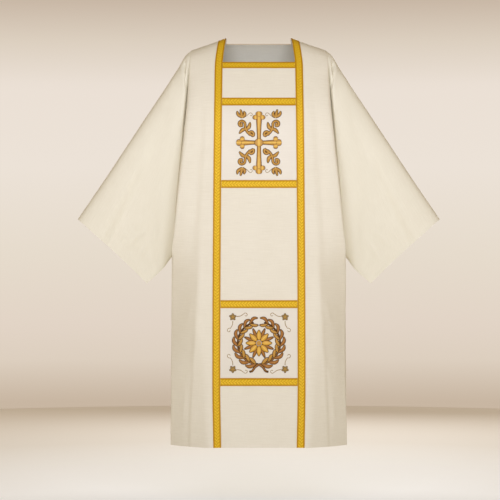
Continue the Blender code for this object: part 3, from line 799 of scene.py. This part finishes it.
def bud(x, z, radius, layer):
    """A round spot."""
    t = np.linspace(-1, 1, 17)
    path = np.stack([np.full_like(t, x), z + radius * t], -1)
    return path, radius * np.sqrt((1 - t**2).clip(0.002)), layer


def curl(x, z, radius, last_radius, start, turn, count=40):
    """Points of a spiral about a spot; angles in degrees, anticlockwise as seen."""
    t = np.linspace(0, 1, count)
    angle = np.radians(start + turn * t)
    r = radius + (last_radius - radius) * t
    return np.stack([x + r * np.cos(angle), z + r * np.sin(angle)], -1)


def curled(points, *spiral):
    """A smooth line that ends in a spiral."""
    return np.concatenate([smooth_line(points, 14), curl(*spiral)[1:]])


def turned(shape, degrees, x=0.0, z=0.0):
    """A shape turned about the square's middle and moved."""
    path, width, layer = shape
    a = math.radians(degrees)
    path = path @ np.array([[math.cos(a), math.sin(a)], [-math.sin(a), math.cos(a)]])
    return path + (x, z), width, layer


def mirrored(shapes, ways):
    """Copies of the shapes; each way gives the signs of their distances across and up."""
    return [(path * way, width, layer) for way in ways for path, width, layer in shapes]


def silk(name, bright, deep, shine=0.25):
    """Shiny embroidery thread laid across each shape, in two close tones."""
    made, tree, shader = shader_of(name)
    strand, broad = noise(tree, 60, 1400, 1), noise(tree, 130, 60, 2)
    colour = blended(tree, mixed(tree, ((strand, 0.5), (broad, 0.5)), 0.35, 0.65), deep, bright)
    values = {"Roughness": 0.45, "Specular IOR Level": shine}
    give_look(tree, shader, colour, (strand, 0.5, 0.0003), values)
    return made


def stitch_shapes(kind, square, part, shapes, wider, rise, thread):
    """Shapes in one thread, laid as low domes on a square; wider is added to each half width."""
    top, foot = (fine_levels[row_of[level], 0] for level in SQUARES["orphrey_" + square])
    faces, unders, flats, corners, first = [], [], [], [], 0
    for path, width, layer in shapes:
        ahead = np.gradient(path, axis=0)
        ahead /= np.linalg.norm(ahead, axis=1, keepdims=True) + 1e-9
        aside = np.stack([-ahead[:, 1], ahead[:, 0]], -1)
        spread = (width + wider)[:, None]
        side = spread * ACROSS
        spot = path[:, None] + aside[:, None] * side[..., None]
        z = (top + foot) / 2 + spot[..., 1]
        column = MIDDLE + spot[..., 0] / (band_set_at(z) - GALLOON_WIDTH / 2) * MIDDLE_CELLS
        row = np.interp(-z, -fine_levels[:, 0], np.arange(len(fine_levels)))
        dome = np.sqrt(1 - (DOME_SPAN * ACROSS) ** 2) * np.minimum(spread / DOME_WIDTH, 1)
        lift = SATIN_FACE + layer * STITCH_LAYER + rise * dome
        faces.append(over_cloth("front", row, column, lift))
        unders.append(over_cloth("front", row, column, SATIN_FACE))
        run = np.repeat(run_along(path)[:, None], len(ACROSS), 1)
        flats.append(np.stack([side, run], -1))
        corners.append(cell_corners(*row.shape).reshape(-1, 4) + first)
        first += row.size
    outer, inner, flat = (np.concatenate(grids) for grids in (faces, unders, flats))
    name = "_".join([kind, square, part])
    piece = stitch_up(name, outer, inner, np.concatenate(corners), flat, thread)


def stitch_motif(square, part, shapes, thread, edge=CORD):
    """Shapes in one thread, on a wider padding edged with dark cord."""
    stitch_shapes("cord", square, part, shapes, edge, CORD_RISE, dark_silk)
    stitch_shapes("silk", square, part, shapes, 0.0, SILK_RISE, thread)


def stitch_painted_highlights(square, part, shapes, thread):
    """A lighter strip along the middle of each shape that is wide enough: painted highlight on the
    top of its dome.
    """
    strands = [(p, w * LIGHT_SHARE, n + 1) for p, w, n in shapes if w.max() > LIGHT_LEAST]
    stitch_shapes("light", square, part, strands, 0.0, SILK_RISE, thread)


gold_silk = silk("gold_silk", (0.60, 0.33, 0.060), (0.44, 0.215, 0.030))
# silk for the painted highlights
highlight_silk = silk("painted_highlight_gold_silk", (0.88, 0.58, 0.13), (0.74, 0.44, 0.06))
amber_silk = silk("amber_silk", (0.72, 0.40, 0.05), (0.56, 0.27, 0.02))
copper_silk = silk("copper_silk", (0.48, 0.210, 0.036), (0.29, 0.110, 0.020))
olive_silk = silk("olive_gold_silk", (0.36, 0.24, 0.07), (0.26, 0.16, 0.04))
dark_silk = silk("dark_brown_silk", (0.12, 0.055, 0.016), (0.075, 0.034, 0.010), shine=0.05)

# the cross: flared arms, the upright ones longer, each with a trefoil end
TREFOIL = ((0, 0.0085, 0.0085), (-0.0105, -0.0015, 0.0072), (0.0105, -0.0015, 0.0072))
cross = [bud(0, 0, 0.012, 3)]
t = np.linspace(0, 1, 24)
flare = between((0.0042, 0.0078), t**1.6)
for quarter, reach in enumerate((0.078, 0.052, 0.078, 0.052)):
    arm = np.stack([0 * t, between((0.004, reach), t)], -1)
    cross.append(turned((arm, flare, 1), 90 * quarter))
    for x, z, radius in TREFOIL:
        cross.append(turned(bud(x, reach + z, radius, 2), 90 * quarter))
# a scroll in each quarter with a curl at both ends, and a three-leaved sprig outside it
inner_curl = curl(0.0245, 0.0265, 0.003, 0.0098, 300, 290)[:-1]
bend = ((0.033, 0.030), (0.0395, 0.040), (0.042, 0.052))
outer_curl = curled(bend, 0.053, 0.056, 0.0112, 0.004, 190, -330)
one_scroll = [
    stem(np.concatenate([inner_curl, outer_curl]), 0.0026, 0.0026),
    bud(0.053, 0.056, 0.0036, 1),
    leaf(((0.0385, 0.0385), (0.030, 0.048), (0.0265, 0.062)), 0.0042),
    leaf(((0.040, 0.042), (0.050, 0.038), (0.060, 0.027)), 0.0040),
]
one_sprig = [
    leaf(((0.050, 0.075), (0.043, 0.0855), (0.046, 0.096)), 0.0034),
    leaf(((0.050, 0.075), (0.053, 0.088), (0.056, 0.101)), 0.0034),
    leaf(((0.050, 0.075), (0.063, 0.0855), (0.066, 0.096)), 0.0034),
]
bend = ((0.050, 0.075), (0.040, 0.079), (0.030, 0.088))
one_tendril = [stem(curled(bend, 0.0245, 0.0845, 0.0065, 0.0022, 32, 300), 0.0008, 0.0006)]
HALVES = ((-1, 1), (1, 1))
QUARTERS = ((-1, 1), (-1, -1), (1, 1), (1, -1))
scrolls, sprigs, tendrils = (
    mirrored(shapes, QUARTERS) for shapes in (one_scroll, one_sprig, one_tendril)
)
# the chest's shapes, each with a painted highlight along its middle where it is wide enough
for part, shapes in (("cross", cross), ("scrolls", scrolls), ("sprigs", sprigs)):
    stitch_motif("chest", part, shapes, gold_silk)
    stitch_painted_highlights("chest", part, shapes, highlight_silk)
stitch_shapes("silk", "chest", "tendrils", tendrils, 0.0, CURL_RISE, olive_silk)

# the wreath: two boughs that rise from a tie at the foot, with leaves outside and inside
WREATH = 0.064  # its radius
LEAF_PAIRS = 9
FLOWER = 0.079  # how far each corner's flower is from the square's middle lines


def bough_leaf(angle, size, side, reach, lean):
    """A leaf of the wreath, rooted at an angle round it, outside (side 1) or inside it (-1)."""
    turn = np.radians([angle, angle + lean * 0.55, angle + lean])
    radius = WREATH + side * reach * np.array([0, 0.8, size])
    points = np.stack([radius * np.cos(turn), radius * np.sin(turn)], -1)
    return leaf(points, 0.0042 * size, 1, 20)


tie = smooth_line(((0, -WREATH), (0.012, -0.073), (0.020, -0.084), (0.029, -0.087)))
half_boughs = [
    stem(curl(0, 0, WREATH, WREATH, -90, 166, 60), 0.0016, 0.0010),
    stem(tie, 0.0022, 0.0012, 2),
]
stations = [(-82 + 18.2 * k, 1.0 - 0.026 * k) for k in range(LEAF_PAIRS)]
half_leaves = [bough_leaf(*station, 1, 0.0150, 24) for station in stations]
half_inner = [bough_leaf(*station, -1, 0.0115, 25) for station in stations]
boughs, leaves, inner_leaves = (
    mirrored(shapes, HALVES) for shapes in (half_boughs, half_leaves, half_inner)
)
flower_petal = leaf(((0, 0.001), (0, 0.006), (0, 0.0115)), 0.0034, 1)
one_flower = [turned(flower_petal, 72 * petal, FLOWER, FLOWER) for petal in range(5)]
downward = ((0.079, 0.068), (0.080, 0.056), (0.086, 0.045))
inward = ((0.068, 0.080), (0.056, 0.082), (0.045, 0.089))
two_curls = [
    stem(curled(downward, 0.090, 0.038, 0.0075, 0.002, 125, -330), 0.0009, 0.0006),
    stem(curled(inward, 0.040, 0.085, 0.0068, 0.002, 38, 300), 0.0009, 0.0006),
]
flowers, fine_curls, hearts = (
    mirrored(shapes, QUARTERS)
    for shapes in (one_flower, two_curls, [bud(FLOWER, FLOWER, 0.0030, 2)])
)
# the rosette: eight broad petals, eight narrow ones between them, and a round middle
petal = leaf(((0, 0.008), (0, 0.024), (0, 0.040)), 0.0066, 2)
petals = [turned(petal, 45 * k) for k in range(8)]
petal = leaf(((0, 0.020), (0, 0.034), (0, 0.048)), 0.0034, 1)
narrow_petals = [turned(petal, 45 * k + 22.5) for k in range(8)]
hearts.insert(0, bud(0, 0, 0.007, 4))
stitch_motif("skirt", "boughs", boughs, copper_silk)
stitch_motif("skirt", "leaves", leaves, copper_silk)
stitch_motif("skirt", "inner_leaves", inner_leaves, gold_silk)
stitch_motif("skirt", "between", narrow_petals, copper_silk)
stitch_motif("skirt", "petals", petals, amber_silk)
stitch_motif("skirt", "flowers", flowers, olive_silk, FINE_CORD)
# painted highlights along the middle of the leaves and petals
stitch_painted_highlights("skirt", "leaves", leaves, gold_silk)
stitch_painted_highlights("skirt", "petals", petals, highlight_silk)
stitch_shapes("silk", "skirt", "hearts", hearts, 0.0, SILK_RISE, gold_silk)
stitch_shapes("silk", "skirt", "curls", fine_curls, 0.0, CURL_RISE, olive_silk)


# ======================================================================================
# The galloon: a gold ribbon 24 mm wide, woven of metal thread, with plaited stitches
# down its middle and a darker corded edge on each side. Two long ones run from the
# front hem over the shoulders to the back hem, and short bars join them.
GALLOON_THICK = 0.0010
GALLOON_CELLS = 16  # across the ribbon
ROW_PARTS = 3  # of a long galloon to each row of the cloth
BAR_CELLS = 112  # along a bar
PLAIT = 0.0095  # length of one plaited stitch
SLANT = 1.1  # how far the stitches slant, in stitches over half the ribbon's width
HALF_SHIFT = 0.25  # of a stitch, up on one half of the ribbon and down on the other
BORDER = 0.0050  # width of the corded edge
BORDER_STEP = 0.0015  # over which the plait passes into the edge
PLAIT_HIGH, CORD_HIGH = 0.00030, 0.00035  # how high the plait and the edge stand


def galloon_relief(across, along):
    """Height of the woven pattern; across runs from -1 to 1 over the ribbon's width."""
    side = np.abs(across) * GALLOON_WIDTH / 2
    middle = GALLOON_WIDTH / 2 - BORDER
    inside = eased((middle - side) / BORDER_STEP + 0.5)
    turn = along / PLAIT - np.abs(across) * SLANT + HALF_SHIFT * np.sign(across)
    plait = PLAIT_HIGH * np.cos(2 * np.pi * turn)
    cord = 1 - ((side - middle - BORDER / 2) / (BORDER / 2)) ** 2
    return inside * plait + (1 - inside) * CORD_HIGH * np.clip(cord, -1, 1)


def galloon_weave(bright, deep, edge):
    """Gold metal thread: slanting stitches between ochre edges, painted lighter on their raised
    parts as painted highlight and darker between them as painted shade, and a little uneven in
    tone.
    """
    made, tree, shader = shader_of("gold_galloon")
    flat = node(tree, "UVMap", uv_map="cloth").outputs["UV"]
    apart = node(tree, "SeparateXYZ", {"Vector": flat})
    across = sum_of(tree, "DIVIDE", apart.outputs["X"], GALLOON_WIDTH / 2)
    along = sum_of(tree, "DIVIDE", apart.outputs["Y"], PLAIT)
    out = sum_of(tree, "ABSOLUTE", across)
    slant = sum_of(tree, "MULTIPLY", out, SLANT)
    half = sum_of(tree, "MULTIPLY", sum_of(tree, "SIGN", across), HALF_SHIFT)
    turn = sum_of(tree, "ADD", sum_of(tree, "SUBTRACT", along, slant), half)
    plait = sum_of(tree, "COSINE", sum_of(tree, "MULTIPLY", turn, 2 * math.pi))
    uneven = sum_of(tree, "MULTIPLY_ADD", noise(tree, 240, 300, 2), 2.8, -1.4)
    # the plait's raised stitches get painted highlight and its hollows painted shade; the noise
    # adds uneven tone
    stitches = sum_of(tree, "MULTIPLY_ADD", plait, 0.65, uneven)
    middle = blended(tree, ranged(tree, stitches, -0.65, 0.75), deep, bright)
    sockets = {"Factor": ranged(tree, out, 0.52, 0.66), "A": middle, "B": (*edge, 1)}
    colour = node(tree, "Mix", sockets, data_type="RGBA").outputs["Result"]
    height = sum_of(tree, "MULTIPLY_ADD", plait, 0.3, noise(tree, 1500, 500, 1))
    values = {"Roughness": 0.5, "Metallic": 0.08, "Specular IOR Level": 0.12}
    give_look(tree, shader, colour, (height, 0.5, 0.0003), values)
    return made


# colours: the painted highlight of the raised stitches, the thread with painted shade between them,
# the corded edges
gold = galloon_weave((0.86, 0.56, 0.034), (0.59, 0.345, 0.009), (0.51, 0.26, 0.006))


def lay_galloon(name, at, along_cells):
    """One length of galloon, from a function of (along cell, across share, lift) to points."""
    share = np.linspace(-1, 1, GALLOON_CELLS + 1)
    step, across = np.meshgrid(np.arange(along_cells + 1), share, indexing="ij")
    under = at(step, across, SEAM_GAP)
    along = np.repeat(run_along(under).mean(1)[:, None], GALLOON_CELLS + 1, 1)
    face = at(step, across, SEAM_GAP + GALLOON_THICK + galloon_relief(across, along))
    flat = np.stack([across * GALLOON_WIDTH / 2, along], -1)
    corners = cell_corners(*step.shape).reshape(-1, 4)
    facing = np.cross(face[1, 1] - face[0, 0], face[0, 1] - face[1, 0])
    if facing @ (face[0, 0] - under[0, 0]) < 0:
        corners = corners[:, ::-1]
    piece = stitch_up("galloon_" + name, face, under, corners, flat, gold)
    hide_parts(name)


last_row = row_of["hem"]
for side, name in ((-1, "clavus_right"), (1, "clavus_left")):
    middle = MIDDLE + side * (MIDDLE_CELLS + BAND_CELLS / 2)

    def along_band(step, across, lift):
        row = (step - last_row * ROW_PARTS) / ROW_PARTS
        column = middle + across * BAND_CELLS / 2
        front = over_cloth("front", (-row).clip(0, last_row), column, lift)
        back = over_cloth("back", row.clip(0, last_row), column, lift)
        return np.where((row < 0)[..., None], front, back)

    lay_galloon(name, along_band, 2 * last_row * ROW_PARTS)

BARS = (
    # node, panel, upper and lower level
    ("bar_neck_front", "front", "front_neck", "front_neck_bar"),
    ("bar_chest_upper", "front", "chest_bar_1_top", "chest_bar_1_foot"),
    ("bar_chest_lower", "front", "chest_bar_2_top", "chest_bar_2_foot"),
    ("bar_skirt_upper", "front", "skirt_bar_1_top", "skirt_bar_1_foot"),
    ("bar_skirt_lower", "front", "skirt_bar_2_top", "skirt_bar_2_foot"),
    ("bar_neck_back", "back", "back_neck", "back_neck_bar"),
)
NECK_BAR_OVER = 0.45  # rows by which the front neck bar stands over the neck's edge
for name, panel, top, foot in BARS:
    high = row_of[top] - (NECK_BAR_OVER if top == "front_neck" else 0)
    low = row_of[foot]

    def along_bar(step, across, lift):
        row = between((high, low), (1 - across) / 2)
        column = between((left_edge, right_edge), step / BAR_CELLS)
        return over_cloth(panel, row, column, lift)

    lay_galloon(name, along_bar, BAR_CELLS)


# ======================================================================================
# The room: a pale floor below the garment, painted darker towards its far edge as painted shade, a
# plain warm backdrop of light beyond it, soft studio light from in front, and the camera.
FLOOR_Z = -1.45
FLOOR_RADIUS = 3.9
FLOOR_SIDES = 128
LIT_SPOT = (0, -1.0, FLOOR_Z)  # the floor round here is lit by the front softbox alone


def srgb(red, green, blue):
    """A colour given as on a screen, from 0 to 255, as the amounts of light."""
    return tuple(
        c / 12.92 if c <= 0.04045 else ((c + 0.055) / 1.055) ** 2.4
        for c in (red / 255, green / 255, blue / 255)
    )


def ramp_of(tree, value, stops):
    """Colours at rising values, the first and last of which are the ends of the ramp."""
    low, high = stops[0][0], stops[-1][0]
    ramp = node(tree, "ValToRGB", {"Fac": ranged(tree, value, low, high)})
    line = ramp.color_ramp
    while len(line.elements) < len(stops):
        line.elements.new(0.5)
    for element, (position, colour) in zip(line.elements, stops):
        element.position = (position - low) / (high - low)
        element.color = (*colour, 1)
    return ramp.outputs["Color"]


def tinted(tree, colour, tint):
    """One colour seen through another."""
    sockets = {"Factor": 1.0, "A": colour, "B": tint}
    return node(tree, "Mix", sockets, data_type="RGBA", blend_type="MULTIPLY").outputs["Result"]


floor_mesh = bpy.data.meshes.new("floor")
turns = [2 * math.pi * k / FLOOR_SIDES for k in range(FLOOR_SIDES)]
edge = [(FLOOR_RADIUS * math.cos(t), FLOOR_RADIUS * math.sin(t), FLOOR_Z) for t in turns]
floor_mesh.from_pydata(edge, [], [list(range(FLOOR_SIDES))])
floor_look, tree, shader = shader_of("floor")
spot = node(tree, "TexCoord").outputs["Object"]
far = node(tree, "VectorMath", {0: spot}, operation="LENGTH").outputs["Value"]
# the floor's colour darkens from near the garment out to its far edge: painted shade
stops = (
    (1.4, srgb(231, 232, 233)),
    (2.525, srgb(209, 202, 193)),
    (FLOOR_RADIUS, srgb(208, 197, 184)),
)
floor_colour_painted_shade = ramp_of(tree, far, stops)
rearward = node(tree, "SeparateXYZ", {"Vector": spot}).outputs["Y"]
warmth = blended(tree, ranged(tree, rearward, -0.5, 0.1), (0.96, 0.91, 0.76), (1, 1, 1))
tree.links.new(tinted(tree, floor_colour_painted_shade, warmth), shader.inputs["Base Color"])
# beyond the lit spot the floor glows a little, in place of the light that the room throws back
outside = node(tree, "VectorMath", {0: spot, 1: LIT_SPOT}, operation="DISTANCE").outputs["Value"]
tree.links.new(floor_colour_painted_shade, shader.inputs["Emission Color"])
tree.links.new(ranged(tree, outside, 0.7, 1.5, 0.08, 0.41), shader.inputs["Emission Strength"])
shader.inputs["Roughness"].default_value = 0.8
floor_mesh.materials.append(floor_look)
placed("floor", floor_mesh)

world = bpy.data.worlds.new("studio")
world.use_nodes = True
bpy.context.scene.world = world
tree = world.node_tree
direction = node(tree, "TexCoord").outputs["Generated"]
up = node(tree, "SeparateXYZ", {"Vector": direction}).outputs["Z"]
stops = (
    (-0.40, srgb(232, 222, 209)),
    (-0.16, srgb(228, 216, 201)),
    (-0.095, srgb(200, 182, 162)),
    (-0.077, srgb(200, 182, 162)),
    (-0.056, srgb(221, 207, 191)),
    (-0.038, srgb(226, 212, 198)),
    (-0.003, srgb(230, 219, 204)),
    (0.043, srgb(236, 226, 215)),
    (0.084, srgb(235, 224, 213)),
    (0.107, srgb(220, 207, 191)),
    (0.130, srgb(198, 180, 162)),
    (0.36, srgb(144, 131, 110)),
    (0.70, srgb(158, 139, 104)),
)
backdrop = ramp_of(tree, up, stops)
# the rest of the room, away from the backdrop that the camera sees, is a little yellower
ahead = node(tree, "SeparateXYZ", {"Vector": direction}).outputs["Y"]
room_tint = blended(tree, ranged(tree, ahead, 0.55, 0.93), (1.01, 0.98, 0.90), (1, 1, 1))
tree.links.new(tinted(tree, backdrop, room_tint), tree.nodes["Background"].inputs["Color"])
tree.nodes["Background"].inputs["Strength"].default_value = 1.0


def softbox(name, place, aim, width, height, power, tint):
    """A soft rectangular studio light, turned towards its aim."""
    lamp = bpy.data.lights.new(name, "AREA")
    lamp.shape = "RECTANGLE"
    lamp.size, lamp.size_y = width, height
    lamp.energy = power
    lamp.color = tint
    held = placed(name, lamp)
    held.location = place
    away = np.array(place, float) - np.array(aim, float)
    yaw = math.atan2(away[0], -away[1])
    tilt = math.atan2(math.hypot(away[0], away[1]), away[2])
    held.rotation_euler = (tilt, 0, yaw)


softbox("softbox_front", (0.0, -2.75, 0.0), (0, 0, -0.45), 2.2, 0.8, 44.3, (0.935, 1.01, 1.22))
softbox("softbox_back", (0.3, 3.0, 0.3), (0, 0, -0.6), 1.5, 1.2, 36, (0.95, 1.0, 1.06))

lens = bpy.data.cameras.new("camera")
lens.lens = 139.4
lens.sensor_width = 36.0
camera = placed("camera", lens)
camera.location = (-0.027, -6.0, -0.6557)
camera.rotation_euler = (math.radians(90), 0, 0)
bpy.context.scene.camera = camera
bpy.context.scene.view_settings.view_transform = "Standard"
